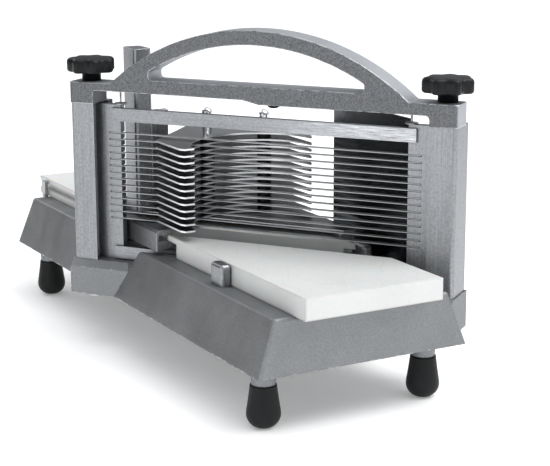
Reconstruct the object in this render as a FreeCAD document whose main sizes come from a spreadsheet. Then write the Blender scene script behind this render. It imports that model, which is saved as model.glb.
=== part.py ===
"""Countertop tomato slicer with fourteen horizontal blades in a diagonal frame.

+X runs to the right across the base, -Y is the end where slices leave, +Y is the
pusher end and +Z is up. The origin is on the surface that the feet stand on, below
the centre of the whole object. Pieces of the blade frame are modelled in the
frame's own axes: u along the blades, v towards the pusher end, z up.
"""
import FreeCAD, Part
import math
import os
import Sketcher

doc = FreeCAD.newDocument("tomato_slicer")
sheet = doc.addObject("Spreadsheet::Sheet", "sizes")
sheet_rows = []
subparts = []


# ---------------------------------------------------------------- driving sizes

def size(alias, value):
    """One named cell of the sheet: a number, or a formula that starts with '='."""
    row = len(sheet_rows) + 1
    sheet.set("A%d" % row, alias)
    sheet.set("B%d" % row, str(value))
    sheet.setAlias("B%d" % row, alias)
    sheet_rows.append(alias)


def base_sizes():
    size("base_length", 415)
    size("base_width", 154)
    size("base_under", 40)            # height of the base's lower rim
    size("base_tall", 35.8)
    size("side_draft", 13.2)          # how far each long wall leans in
    size("end_draft", 3.5)
    size("base_wall", 6)
    size("base_round", 2.5)
    size("deck_thick", 6)
    size("deck_top", "=base_under + base_tall")
    size("foot_inset_x", 17)
    size("foot_inset_front", 25)
    size("foot_inset_rear", 29)
    size("leg_radius", 7)
    size("boot_radius", 8.7)
    size("boot_bulge", 11.1)
    size("boot_tall", 28.5)
    size("boot_bulge_rise", 8)
    size("boot_flat", 0.4)
    size("boot_ball", "=(boot_bulge ^ 2 + boot_bulge_rise ^ 2) / (2 * boot_bulge_rise)")
    size("leg_low", 14.5)
    size("leg_high", 50)
    size("leg_flare", 9)


def frame_sizes():
    size("frame_angle", 53.4)
    size("frame_along", 138.9)        # front end of the base to the frame's centre
    size("post_reach", 143.5)         # frame centre to a post's outer face
    size("post_wide", 18.9)
    size("post_front", 10)            # blade line to the posts' front face
    size("post_deep", 27.5)
    size("post_top", 178.3)
    size("post_corner", 3)
    size("groove_deep", 4)
    size("groove_front", 7)
    size("groove_rear", 11)
    size("beam_top", 65)
    size("past", 1)                   # how far a cutting tool runs past what it cuts
    size("beam_past", 1)              # how far the beam runs past the posts
    size("slot_past", 20)             # how far the slot for the frame runs past the posts
    size("seat_past", 12)             # how far it runs inwards from each post
    size("slot_tall", 50)
    size("beam_step", 5)              # how far the beam stands out before the posts
    size("rail_inner", 108)
    size("rail_front", 1)
    size("rail_deep", 6)
    size("rail_top", 177.5)
    size("rail_gap", 0.4)
    size("stud_radius", 4)
    size("stud_at", 133)
    size("stud_in_post", 30)
    size("stud_top", 206.2)
    size("stud_line", 3.2)            # blade line to the studs
    size("bolt_line", "=post_deep / 2 - post_front")
    size("running_gap", 0.05)
    size("bolt_radius", 4)
    size("bolt_in_post", 22)
    size("bolt_head", 6.5)
    size("bolt_head_tall", 5)
    size("slant_sin", "=sin(frame_angle * 1deg)")
    size("slant_cos", "=cos(frame_angle * 1deg)")


def blade_sizes():
    size("blade_count", 14)
    size("blade_pitch", 4.7625)
    size("blade_first", 95.3)
    size("blade_thick", 0.5)
    size("blade_slot", 1.1)
    size("blade_reach", 116.8)
    size("slot_reach", 117.4)
    size("blade_front", 0.6)
    size("blade_deep", 5.2)
    size("blade_grind", 1.2)
    size("pin_at", 112)
    size("pin_line", 2)
    size("pin_radius", 1)
    size("pin_spare", 6)
    size("screw_at", 111)
    size("screw_depth", 1.5)
    size("screw_radius", 1.5)
    size("screw_head", 2.6)
    size("screw_head_tall", 1.6)
    size("bar_reach", 114)
    size("bar_front", 3)
    size("bar_deep", 4.5)
    size("bar_tall", 9.2)
    size("top_bar_low", 166)
    size("low_bar_low", 65.6)


def handle_sizes():
    size("handle_front", 10)
    size("handle_deep", 20)
    size("ear_inner", 124.9)
    size("ear_outer", 144.3)
    size("ear_top", 193.3)
    size("bar_under", 187.9)          # underside of the crossbar, left half
    size("bar_under_right", 185.3)    # underside of the crossbar, right half
    size("bar_over", 197.3)
    size("arch_top", 235)
    size("arch_rise", "=arch_top - ear_top")
    size("arch_foot", 110.667)        # frame centre to where the arch leaves the ears
    size("arch_radius", "=(arch_foot ^ 2 + arch_rise ^ 2) / (2 * arch_rise)")
    size("arch_thick", 9.8)
    size("opening_reach", 80)
    size("window_corner", 2.8)
    size("ear_corner", 3)
    size("ear_hole", 4.4)
    size("keel_start", 8)
    size("button_radius", 4.6)
    size("button_at", 109)
    size("button_middle_at", 10)
    size("button_short", 2)           # how far the middle button stops above the rails
    size("button_line", "=rail_deep / 2 - rail_front")
    size("knob_radius", 17.4)
    size("knob_low", 199)
    size("knob_tall", 11.3)
    size("knob_neck", 6.8)
    size("insert_radius", 5.6)
    size("insert_tall", 13.5)
    size("knob_dome", 60)
    size("knob_lobes", 7)
    size("knob_edge", 1.2)
    size("scallop_at", 24.3)
    size("scallop_radius", 9.4)
    size("neck_gap", 0.2)
    size("bore_spare", 0.5)           # room above the bush in a knob


def board_sizes():
    size("board_width", 100)
    size("board_thick", 14.2)
    size("board_front", 10)           # how far the front board overhangs
    size("board_rear", 15)
    size("board_gap_front", 13.5)     # blade line to the front board's slanted edge
    size("board_gap_rear", 13)
    size("lip_thick", 4)
    size("edge_groove_tall", 5.4)
    size("edge_groove_deep", 5)
    size("front_cut", 29.5)           # left edge cut back from here to its tip
    size("screw_spread", 30)
    size("board_screw", 2.5)
    size("board_screw_tall", 14)
    size("board_screw_head", 5)
    size("lug_wide", 8)
    size("lug_long", 16)
    size("lug_tall", 14.5)
    size("lug_along", 54.5)
    size("lug_round", 2.5)
    size("stop_radius", 2.5)
    size("stop_gap", 0.5)             # board's side to the stop pins
    size("stop_tall", 13)


def pusher_sizes():
    size("foot_clear", 1.24)          # post's inner corner to a foot's side
    size("post_corner_x", "=(post_reach - post_wide) * slant_cos - (post_deep - post_front) * slant_sin")
    size("foot_hold", 3)              # how far a foot reaches under the board's lip
    size("foot_wide", "=post_corner_x - foot_clear - board_width / 2 + foot_hold")
    size("foot_skin", 1.6)
    size("foot_top", 94)
    size("foot_drop", 7)              # lip's underside to the foot's lower corner
    size("foot_front", 42)
    size("foot_front_right", -30)
    size("foot_rear", 150)
    size("foot_screw_x", "=board_width / 2 + 5.5")
    size("foot_screw_bite", 3)
    size("slide_gap", 0.3)
    size("plate_reach", 52)
    size("plate_thick", 1.2)
    size("plate_tip", 14)
    size("plate_rear", 104)
    size("plate_corner", 4)
    size("plate_shoulder", 55.5)
    size("back_travel", 120)
    size("cradle_radius", 46)
    size("cradle_x", 3)
    size("cradle_at", 8.5)
    size("rod_radius", 2.4)
    size("left_rod_x", -10.5)
    size("left_rod_y", 58)
    size("right_rod_x", 33.8)
    size("right_rod_y", 54.7)
    size("spacer_radius", 5.2)
    size("base_plate_thick", 2.4)
    size("base_plate_gap", 22)        # blade line to the base plate's slanted edge
    size("left_ferrule_tall", 13.6)
    size("right_ferrule_tall", 9.2)
    size("ferrule_low_wall", 1)
    size("ferrule_high_wall", 1.9)
    size("nut_radius", 3.7)
    size("nut_skirt", 2.5)
    size("nut_bore", 2)               # how far a rod reaches into its nut
    size("grip_x", -50)
    size("grip_y", 93)
    size("grip_wide", 13.4)
    size("grip_deep", 21.5)
    size("grip_top", 215)
    size("grip_corner", 2.5)
    size("web_wide", 31.8)
    size("web_deep", 5)
    size("web_back", 13.5)            # grip's front face to the web
    size("web_top", 168)
    size("guard_x", 69)
    size("guard_thick", 1.5)
    size("guard_gap", 7)
    size("guard_rear", 15.5)
    size("guard_foot", 48)
    size("guard_top", 180)
    size("guard_screw_x", "=board_width / 2 + 6")
    size("guard_screw_in", 8)
    size("guard_screw_bite", 4)
    size("guard_head_tall", 1.2)


def place_sizes():
    """Where the base and the frame lie, so that the origin is below the centre."""
    size("beam_reach_x", "=(post_reach + beam_past) * slant_cos + (post_deep - post_front) * slant_sin")
    size("beam_left_x", "=(post_reach + beam_past) * slant_cos + (post_front + beam_step) * slant_sin")
    size("frame_x", "=(beam_left_x - beam_reach_x) / 2")
    size("frame_y", "=-(base_length - frame_along + board_rear - (frame_along + board_front)) / 2")
    size("base_y", "=frame_y + base_length / 2 - frame_along")
    size("board_low", "=deck_top")
    size("board_high", "=board_low + board_thick")
    size("lip_low", "=board_high - lip_thick")


# ---------------------------------------------------------------- small helpers

def bind(obj, prop, expression):
    obj.setExpression(prop, sheet_names(str(expression)))


def sheet_names(expression):
    """The same formula with every alias read from the sheet."""
    out = ""
    word = ""
    for letter in expression + " ":
        if letter.isalpha() or letter == "_" or (word and letter.isdigit()):
            word += letter
            continue
        out += "sizes." + word if word in sheet_rows else word
        word = ""
        out += letter
    return out.strip()


def bind_place(obj, x, y, z):
    bind(obj, ".Placement.Base.x", x)
    bind(obj, ".Placement.Base.y", y)
    bind(obj, ".Placement.Base.z", z)


def box(name, x, y, z, wide, deep, tall):
    obj = doc.addObject("Part::Box", name)
    bind(obj, "Length", wide)
    bind(obj, "Width", deep)
    bind(obj, "Height", tall)
    bind_place(obj, x, y, z)
    return obj


def cylinder(name, x, y, z, radius, tall):
    obj = doc.addObject("Part::Cylinder", name)
    bind(obj, "Radius", radius)
    bind(obj, "Height", tall)
    bind_place(obj, x, y, z)
    return obj


def cross_cylinder(name, x, y, z, radius, deep):
    """A cylinder whose axis runs along +Y (v in the frame's axes) from y."""
    obj = doc.addObject("Part::Cylinder", name)
    obj.Placement = FreeCAD.Placement(FreeCAD.Vector(), FreeCAD.Rotation(FreeCAD.Vector(1, 0, 0), -90))
    bind(obj, "Radius", radius)
    bind(obj, "Height", deep)
    bind_place(obj, x, y, z)
    return obj


def cone(name, x, y, z, low_radius, high_radius, tall):
    obj = doc.addObject("Part::Cone", name)
    bind(obj, "Radius1", low_radius)
    bind(obj, "Radius2", high_radius)
    bind(obj, "Height", tall)
    bind_place(obj, x, y, z)
    return obj


def join(name, pieces):
    obj = doc.addObject("Part::MultiFuse", name)
    obj.Shapes = pieces
    obj.Refine = True
    return obj


def cut(name, body, tool):
    obj = doc.addObject("Part::Cut", name)
    obj.Base = body
    obj.Tool = tool
    return obj


def common(name, body, tool):
    obj = doc.addObject("Part::Common", name)
    obj.Base = body
    obj.Tool = tool
    return obj


def compound(name, pieces):
    obj = doc.addObject("Part::Compound", name)
    obj.Links = pieces
    return obj


def in_frame(obj):
    """Turn a piece made in the frame's axes to where the frame stands."""
    turn = FreeCAD.Rotation(FreeCAD.Vector(0, 0, 1), -1)
    obj.Placement = FreeCAD.Placement(FreeCAD.Vector(), turn)
    bind_place(obj, "frame_x", "frame_y", "0")
    bind(obj, ".Placement.Rotation.Angle", "-frame_angle * 1deg")
    return obj


def prism(name, points, tall, z="0"):
    """A PartDesign pad of a closed outline whose corners are formulas."""
    body = doc.addObject("PartDesign::Body", name)
    outline = body.newObject("Sketcher::SketchObject", name + "_outline")
    for plane in body.Origin.OriginFeatures:
        if plane.Role == "XY_Plane":
            outline.AttachmentSupport = [(plane, "")]
    outline.MapMode = "FlatFace"
    count = len(points)
    for i in range(count):
        a = 2 * math.pi * i / count
        b = 2 * math.pi * (i + 1) / count
        start = FreeCAD.Vector(50 * math.cos(a), 50 * math.sin(a), 0)
        end = FreeCAD.Vector(50 * math.cos(b), 50 * math.sin(b), 0)
        outline.addGeometry(Part.LineSegment(start, end), False)
    for i in range(count):
        outline.addConstraint(Sketcher.Constraint("Coincident", i, 2, (i + 1) % count, 1))
    for i, (x, y) in enumerate(points):
        corner = "corner%d" % i
        for kind, value, letter in (("DistanceX", x, "x"), ("DistanceY", y, "y")):
            index = outline.addConstraint(Sketcher.Constraint(kind, -1, 1, i, 1, 1.0))
            outline.renameConstraint(index, corner + letter)
            bind(outline, "Constraints." + corner + letter, value)
    pad = body.newObject("PartDesign::Pad", name + "_pad")
    pad.Profile = outline
    bind(pad, "Length", tall)
    bind(body, ".Placement.Base.z", z)
    return body


def round_edges(name, obj, radius, chosen):
    """Round the edges of obj that the test chosen(edge) picks."""
    doc.recompute()
    picked = [i + 1 for i, edge in enumerate(obj.Shape.Edges) if chosen(edge)]
    if not picked:
        raise RuntimeError("no edge to round on " + name)
    fillet = doc.addObject("Part::Fillet", name)
    fillet.Base = obj
    fillet.Edges = [(i, radius, radius) for i in picked]
    return fillet


def upright(edge):
    """True for a straight edge that runs along Z."""
    return edge.BoundBox.XLength < 0.01 and edge.BoundBox.YLength < 0.01


def value(alias):
    return float(sheet.get(alias))


def subpart(obj, node):
    obj.Label = node
    subparts.append(obj)
    return obj


# ---------------------------------------------------------------- base and feet

def trough(name, inset, low, high):
    """A straight-walled hull of the base, inset all round, between two heights."""
    hull = doc.addObject("Part::Wedge", name)
    turn = FreeCAD.Rotation(FreeCAD.Vector(1, 0, 0), 90)
    hull.Placement = FreeCAD.Placement(FreeCAD.Vector(), turn)
    half_x = "(base_width / 2 - (%s))" % inset
    half_y = "(base_length / 2 - (%s))" % inset
    share = "((%s) - base_under) / base_tall" % high
    bind(hull, "Xmin", "-" + half_x)
    bind(hull, "Xmax", half_x)
    bind(hull, "Zmin", "-" + half_y)
    bind(hull, "Zmax", half_y)
    bind(hull, "Ymin", "0")
    bind(hull, "Ymax", "(%s) - (%s)" % (high, low))
    bind(hull, "X2min", "-(%s - side_draft * %s)" % (half_x, share))
    bind(hull, "X2max", "%s - side_draft * %s" % (half_x, share))
    bind(hull, "Z2min", "-(%s - end_draft * %s)" % (half_y, share))
    bind(hull, "Z2max", "%s - end_draft * %s" % (half_y, share))
    bind_place(hull, "frame_x", "base_y", low)
    return hull


def base_casting():
    """Inverted trough with a flat deck and a diagonal beam that carries the frame."""
    outer = trough("base_outer", "0", "base_under", "deck_top")
    inner = trough("base_inner", "base_wall", "base_under", "deck_top - deck_thick")
    shell = cut("base_shell", outer, inner)
    rounded = round_edges("base_rounded", shell, value("base_round"), outer_edge)
    slot = in_frame(compound("frame_slot", [
        box("slot_middle", "-post_reach - slot_past", "-post_front - beam_step", "beam_top",
            "2 * (post_reach + slot_past)", "post_front + beam_step + groove_rear", "slot_tall"),
        box("slot_left_seat", "-post_reach - slot_past", "0", "beam_top",
            "post_wide + slot_past + seat_past", "post_deep - post_front + past", "slot_tall"),
        box("slot_right_seat", "post_reach - post_wide - seat_past", "0", "beam_top",
            "post_wide + slot_past + seat_past", "post_deep - post_front + past", "slot_tall")]))
    slotted = cut("base_slotted", rounded, slot)
    beam = prism("beam_block", [
        ("-post_front - beam_step", "base_under"),
        ("post_deep - post_front", "base_under"),
        ("post_deep - post_front", "beam_top"),
        ("-post_front", "beam_top"),
        ("-post_front - beam_step", "beam_top - beam_step")], "2 * (post_reach + beam_past)")
    beam.Placement = FreeCAD.Placement(
        FreeCAD.Vector(), FreeCAD.Rotation(FreeCAD.Vector(1, 1, 1), 120))
    bind_place(beam, "-post_reach - beam_past", "0", "0")
    stud_holes = in_frame(compound("beam_bolt_holes", [
        cylinder("beam_hole_" + side, sign + "stud_at", "bolt_line",
                 "base_under - past", "bolt_radius", "beam_top")
        for side, sign in (("left", "-"), ("right", ""))]))
    beam = in_frame(compound("beam", [beam]))
    legs = [leg("leg_" + name, x, y) for name, x, y in feet_places()]
    solid = join("base_joined", [slotted, beam] + legs)
    return subpart(cut("base_cut", solid, stud_holes), "base_casting")


def outer_edge(edge):
    """Edges on the outside of the shell, above the lower rim."""
    low = edge.BoundBox.ZMin
    high = edge.BoundBox.ZMax
    on_top = low > value("deck_top") - 0.1
    corner = high > value("deck_top") - 0.1 and low < value("base_under") + 0.1
    return on_top or corner


def feet_places():
    x = "(base_width / 2 - foot_inset_x)"
    front = "base_y - base_length / 2 + foot_inset_front"
    rear = "base_y + base_length / 2 - foot_inset_rear"
    return [("front_left", "frame_x - " + x, front), ("front_right", "frame_x + " + x, front),
            ("rear_left", "frame_x - " + x, rear), ("rear_right", "frame_x + " + x, rear)]


def leg(name, x, y):
    return cone(name, x, y, "leg_low", "leg_radius", "leg_flare", "leg_high - leg_low")


def rubber_feet():
    """Four boots pushed over the tapered legs."""
    boots = []
    for name, x, y in feet_places():
        ball = doc.addObject("Part::Sphere", "boot_ball_" + name)
        bind(ball, "Radius", "boot_ball")
        bind_place(ball, x, y, "boot_ball - boot_flat")
        low = cylinder("boot_low_" + name, x, y, "0", "boot_bulge", "boot_bulge_rise")
        dome = common("boot_dome_" + name, ball, low)
        body = cone("boot_body_" + name, x, y, "boot_bulge_rise", "boot_bulge", "boot_radius",
                    "boot_tall - boot_bulge_rise")
        solid = join("boot_solid_" + name, [dome, body])
        boots.append(cut("boot_" + name, solid, leg("boot_hole_" + name, x, y)))
    return subpart(compound("boots", boots), "rubber_feet")


# ---------------------------------------------------------------- blade frame

SIDES = (("left", -1), ("right", 1))


def side_box(name, sign, near, far, v, z, deep, tall):
    """A box between two distances from the frame's centre, on one side of it."""
    start = near if sign > 0 else "-(%s)" % far
    return box(name, start, v, z, "(%s) - (%s)" % (far, near), deep, tall)


def side_cylinder(name, sign, u, v, z, radius, tall):
    return cylinder(name, u if sign > 0 else "-(%s)" % u, v, z, radius, tall)


def side_rod(name, sign, u, v, z, radius, deep):
    return cross_cylinder(name, u if sign > 0 else "-(%s)" % u, v, z, radius, deep)


def post(side, sign):
    """Upright of the frame, with a groove for the blade rail and a stud hole."""
    body = side_box(side + "_post_body", sign, "post_reach - post_wide", "post_reach",
                    "-post_front", "beam_top", "post_deep", "post_top - beam_top")
    rounded = round_edges(side + "_post_rounded", body, value("post_corner"),
                          lambda edge: upright(edge) and abs(edge.Vertexes[0].X) > value("post_reach") - 1)
    tools = compound(side + "_post_tools", [
        side_box(side + "_post_groove", sign, "post_reach - post_wide - past",
                 "post_reach - post_wide + groove_deep", "-groove_front", "beam_top - past",
                 "groove_front + groove_rear", "post_top - beam_top + 2 * past"),
        side_cylinder(side + "_stud_hole", sign, "stud_at", "stud_line", "post_top - stud_in_post",
                      "stud_radius", "stud_in_post + past"),
        side_cylinder(side + "_bolt_hole", sign, "stud_at", "bolt_line", "beam_top - past",
                      "bolt_radius", "bolt_in_post + past")])
    return subpart(in_frame(cut(side + "_post_cut", rounded, tools)), side + "_post")


def post_bolts():
    """Bolts up through the beam that hold the two posts down."""
    bolts = []
    for side, sign in SIDES:
        shank = side_cylinder(side + "_bolt_shank", sign, "stud_at", "bolt_line", "base_under",
                              "bolt_radius", "beam_top + bolt_in_post - base_under")
        head = side_cylinder(side + "_bolt_head", sign, "stud_at", "bolt_line",
                             "base_under - bolt_head_tall", "bolt_head", "bolt_head_tall")
        bolts.append(join(side + "_bolt", [shank, head]))
    return subpart(in_frame(compound("bolts", bolts)), "post_bolts")


def knob_studs():
    """Threaded studs that stand up out of the posts."""
    studs = [side_cylinder(side + "_stud", sign, "stud_at", "stud_line", "post_top - stud_in_post",
                           "stud_radius", "stud_top - post_top + stud_in_post")
             for side, sign in SIDES]
    return subpart(in_frame(compound("studs", studs)), "knob_studs")


def blade_height(index):
    return "blade_first + %d * blade_pitch" % index


def bar_box(name, low):
    return box(name, "-bar_reach", "-bar_front", low, "2 * bar_reach", "bar_deep", "bar_tall")


def screw_spots():
    return [(side, sign, name, low) for side, sign in SIDES
            for name, low in (("top", "top_bar_low"), ("low", "low_bar_low"))]


def screw_hole(prefix, side, sign, name, low):
    return side_rod(prefix + side + "_" + name, sign, "screw_at", "-screw_depth",
                    low + " + bar_tall / 2", "screw_radius", "screw_depth + rail_deep")


def pin_rod(name, sign):
    return side_cylinder(name, sign, "pin_at", "pin_line", "blade_first - pin_spare", "pin_radius",
                         "(blade_count - 1) * blade_pitch + 2 * pin_spare")


def rail(side, sign):
    """Slotted upright that carries one end of every blade."""
    body = side_box(side + "_rail_body", sign, "rail_inner",
                    "post_reach - post_wide + groove_deep - rail_gap", "-rail_front", "beam_top",
                    "rail_deep", "rail_top - beam_top")
    slots = [side_box("%s_slot_%02d" % (side, i + 1), sign, "rail_inner - past", "slot_reach",
                      "-rail_front - past", blade_height(i) + " - blade_slot / 2", "rail_deep + 2 * past",
                      "blade_slot") for i in range(int(value("blade_count")))]
    laps = [bar_box(side + "_lap_" + name, low)
            for name, low in (("top", "top_bar_low"), ("low", "low_bar_low"))]
    screws = [screw_hole("rail_screw_", s, k, name, low)
              for s, k, name, low in screw_spots() if s == side]
    tools = compound(side + "_rail_tools", slots + laps + screws + [pin_rod(side + "_pin_hole", sign)])
    return subpart(in_frame(cut(side + "_rail_cut", body, tools)), side + "_blade_rail")


def blade(index):
    """One strip blade, cutting edge ground on the pusher side."""
    prefix = "blade_%02d" % (index + 1)
    body = prism(prefix + "_body", [
        ("-blade_front", "-blade_thick / 2"),
        ("blade_deep - blade_front - blade_grind", "-blade_thick / 2"),
        ("blade_deep - blade_front", "-blade_thick / 10"),
        ("blade_deep - blade_front", "blade_thick / 10"),
        ("blade_deep - blade_front - blade_grind", "blade_thick / 2"),
        ("-blade_front", "blade_thick / 2")], "2 * blade_reach")
    body.Placement = FreeCAD.Placement(
        FreeCAD.Vector(), FreeCAD.Rotation(FreeCAD.Vector(1, 1, 1), 120))
    bind_place(body, "-blade_reach", "0", blade_height(index))
    holes = compound(prefix + "_holes", [pin_rod(prefix + "_hole_" + side, sign) for side, sign in SIDES])
    return subpart(in_frame(cut(prefix + "_cut", body, holes)), prefix)


def blade_bars():
    """Bars lapped on the front of both rails, at the top and at the bottom."""
    for name, low in (("top", "top_bar_low"), ("low", "low_bar_low")):
        body = bar_box(name + "_bar_body", low)
        holes = compound(name + "_bar_holes", [
            screw_hole("bar_screw_", side, sign, spot, height)
            for side, sign, spot, height in screw_spots() if spot == name])
        node = {"top": "top_blade_bar", "low": "bottom_blade_bar"}[name]
        subpart(in_frame(cut(name + "_bar_cut", body, holes)), node)


def bar_screws():
    screws = []
    for side, sign, name, low in screw_spots():
        shank = screw_hole("screw_shank_", side, sign, name, low)
        head = side_rod("screw_head_" + side + "_" + name, sign, "screw_at", "rail_deep - rail_front",
                        low + " + bar_tall / 2", "screw_head", "screw_head_tall")
        bind(shank, "Height", "screw_depth + rail_deep - rail_front")
        screws.append(join("screw_" + side + "_" + name, [shank, head]))
    return subpart(in_frame(compound("screws", screws)), "bar_screws")


def blade_pins():
    pins = [pin_rod(side + "_pin", sign) for side, sign in SIDES]
    return subpart(in_frame(compound("pins", pins)), "blade_pins")


# ---------------------------------------------------------------- top casting and knobs

def arch_disc(name, radius):
    return cross_cylinder(name, "0", "-handle_front", "arch_top - arch_radius", radius, "handle_deep")


def top_handle():
    """Arched carrying handle cast with the crossbar that closes the frame."""
    dome = common("arch_dome", arch_disc("arch_disc", "arch_radius"),
                  box("arch_band", "-ear_inner", "-handle_front", "bar_under", "2 * ear_inner",
                      "handle_deep", "arch_top - bar_under + past"))
    crossbar = box("crossbar", "-ear_outer", "-handle_front", "bar_under", "2 * ear_outer",
                   "handle_deep", "ear_top - bar_under")
    keel = prism("crossbar_keel", [
        ("-keel_start", "bar_under + 1"),
        ("-keel_start", "bar_under"),
        ("keel_start / 2", "bar_under_right"),
        ("ear_inner + 1", "bar_under_right"),
        ("ear_inner + 1", "bar_under + 1")], "handle_deep")
    keel.Placement = FreeCAD.Placement(FreeCAD.Vector(), FreeCAD.Rotation(FreeCAD.Vector(1, 0, 0), 90))
    bind_place(keel, "0", "handle_deep - handle_front", "0")
    ears = [side_box(side + "_ear", sign, "ear_inner", "ear_outer", "-handle_front", "post_top",
                     "handle_deep", "ear_top - post_top") for side, sign in SIDES]
    solid = join("handle_solid", [dome, crossbar, keel] + ears)
    window = common("handle_window", arch_disc("window_disc", "arch_radius - arch_thick"),
                    box("window_band", "-opening_reach", "-handle_front - past", "bar_over",
                        "2 * opening_reach", "handle_deep + 2 * past", "arch_top"))
    bind(window.Base, "Height", "handle_deep + 2 * past")
    bind(window.Base, ".Placement.Base.y", "-handle_front - past")
    soft_window = round_edges("handle_window_round", window, value("window_corner"), along_v)
    opened = cut("handle_opened", solid, soft_window)
    outside = round_edges("handle_round", opened, value("ear_corner"), ear_edge)
    holes = compound("ear_holes", [
        side_cylinder(side + "_ear_hole", sign, "stud_at", "stud_line", "post_top - past", "ear_hole",
                      "ear_top - post_top + 2 * past") for side, sign in SIDES])
    return subpart(in_frame(cut("handle_cut", outside, holes)), "top_handle")


def along_v(edge):
    """True for a straight edge that runs through the casting from front to back."""
    return edge.BoundBox.XLength < 0.01 and edge.BoundBox.ZLength < 0.01


def ear_edge(edge):
    """The upright corners of the two ears, and the inner corners under the crossbar."""
    far = abs(edge.Vertexes[0].X) > value("ear_outer") - 0.1
    under = along_v(edge) and abs(abs(edge.Vertexes[0].X) - value("ear_inner")) < 0.1
    return (upright(edge) and far) or (under and edge.Vertexes[0].Z > value("post_top") + 1)


def hold_down_buttons():
    """Buttons under the crossbar that press the blade cartridge down."""
    left = cylinder("button_left", "-button_at", "button_line", "rail_top", "button_radius",
                    "bar_under - rail_top")
    right = cylinder("button_right", "button_at", "button_line", "rail_top", "button_radius",
                     "bar_under_right - rail_top")
    middle = cylinder("button_middle", "button_middle_at", "button_line", "rail_top + button_short",
                      "button_radius", "bar_under_right - rail_top - button_short")
    return subpart(in_frame(compound("buttons", [left, middle, right])), "hold_down_buttons")


def knob_insert(side, sign):
    """Threaded bush moulded into a knob; it climbs the stud as the knob turns."""
    body = side_cylinder(side + "_insert_body", sign, "stud_at", "stud_line", "ear_top",
                         "insert_radius - running_gap", "insert_tall")
    bore = side_cylinder(side + "_insert_bore", sign, "stud_at", "stud_line", "ear_top - past",
                         "stud_radius + running_gap", "insert_tall + 2 * past")
    return subpart(in_frame(cut(side + "_insert_cut", body, bore)), side + "_knob_insert")


def knob(side, sign):
    """Lobed hand knob with a short neck and a gently domed top."""
    head = side_cylinder(side + "_knob_head", sign, "stud_at", "stud_line", "knob_low",
                         "knob_radius", "knob_tall")
    ball = doc.addObject("Part::Sphere", side + "_knob_ball")
    bind(ball, "Radius", "knob_dome")
    bind_place(ball, "stud_at" if sign > 0 else "-stud_at", "stud_line",
               "knob_low + knob_tall - knob_dome")
    domed = common(side + "_knob_domed", head, ball)
    scallops = []
    count = int(value("knob_lobes"))
    for i in range(count):
        angle = "(%d + 0.5) * 360deg / %d" % (i, count)
        u = "(%s stud_at + scallop_at * cos(%s))" % ("-" if sign < 0 else "", angle)
        v = "(stud_line + scallop_at * sin(%s))" % angle
        scallops.append(cylinder("%s_scallop_%d" % (side, i), u, v, "knob_low - past", "scallop_radius",
                                 "knob_tall + 2 * past"))
    lobed = cut(side + "_knob_lobed", domed, compound(side + "_scallops", scallops))
    soft = round_edges(side + "_knob_soft", lobed, value("knob_edge"),
                       lambda edge: edge.BoundBox.ZMin > value("knob_low") + 1 and not upright(edge))
    neck = side_cylinder(side + "_knob_neck", sign, "stud_at", "stud_line", "ear_top + neck_gap",
                         "knob_neck", "knob_low - ear_top")
    bore = side_cylinder(side + "_knob_bore", sign, "stud_at", "stud_line", "ear_top - past",
                         "insert_radius", "insert_tall + past + bore_spare")
    whole = join(side + "_knob_whole", [soft, neck])
    return subpart(in_frame(cut(side + "_knob_cut", whole, bore)), side + "_knob")


# ---------------------------------------------------------------- boards

def slant_y(x, gap):
    """Height along Y of the frame-parallel line at a distance in front of the blades."""
    return "((%s) - (%s) * slant_sin) / slant_cos" % (gap, x)


def in_base(obj):
    """Put a piece made about the frame's centre, in the base's own directions."""
    bind(obj, ".Placement.Base.x", "frame_x")
    bind(obj, ".Placement.Base.y", "frame_y")
    return obj


def front_board():
    """White board that the slices land on, with its back edge along the frame."""
    half = "board_width / 2"
    near = "-frame_along - board_front"
    slab = prism("front_slab", [
        ("-" + half, near), (half, near),
        (half, slant_y(half, "-board_gap_front")),
        ("-" + half, slant_y("-" + half, "-board_gap_front"))], "board_thick", "board_low")
    notch = box("front_notch", "-%s - past" % half, "front_cut", "board_low - past",
                "edge_groove_deep + past", "board_width", "lip_low - board_low + past")
    holes = screw_rods("front_board_hole_", FRONT_SCREWS)
    return board("front_board", slab, [notch] + holes)


def rear_board():
    """White board under the pusher, grooved along both sides for the pusher's feet."""
    half = "board_width / 2"
    far = "base_length - frame_along + board_rear"
    slab = prism("rear_slab", [
        ("-" + half, far), ("-" + half, slant_y("-" + half, "board_gap_rear")),
        (half, slant_y(half, "board_gap_rear")), (half, far)], "board_thick", "board_low")
    grooves = [box("rear_groove_" + side, x, "-board_width", "lip_low - edge_groove_tall",
                   "edge_groove_deep + past", "2 * base_length", "edge_groove_tall")
               for side, x in (("left", "-%s - past" % half), ("right", half + " - edge_groove_deep"))]
    holes = screw_rods("rear_board_hole_", REAR_SCREWS)
    return board("rear_board", slab, grooves + holes)


FRONT_SCREWS = [("a", "-screw_spread", "-frame_along + 30"), ("b", "screw_spread", "-frame_along + 30")]
REAR_SCREWS = [("c", "-screw_spread", "base_length - frame_along - 40"),
               ("d", "screw_spread", "base_length - frame_along - 40"),
               ("e", "screw_spread", "30")]


def screw_rods(prefix, spots):
    """Screws up through the deck into a board."""
    return [cylinder(prefix + name, x, y, "deck_top - deck_thick", "board_screw", "board_screw_tall")
            for name, x, y in spots]


def board(node, slab, tools):
    return subpart(in_base(cut(node + "_cut", slab, compound(node + "_tools", tools))), node)


def deck_screws():
    """Screws that hold the boards from below and the side guard from above."""
    screws = []
    for name, x, y in FRONT_SCREWS + REAR_SCREWS:
        head = cylinder("board_screw_head_" + name, x, y, "deck_top - deck_thick - screw_head_tall",
                        "board_screw_head", "screw_head_tall")
        screws.append(join("board_screw_" + name, [screw_rods("board_shank_", [(name, x, y)])[0], head]))
    return subpart(in_base(compound("deck_screw_set", screws + guard_fixings())), "deck_screws")


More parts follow.
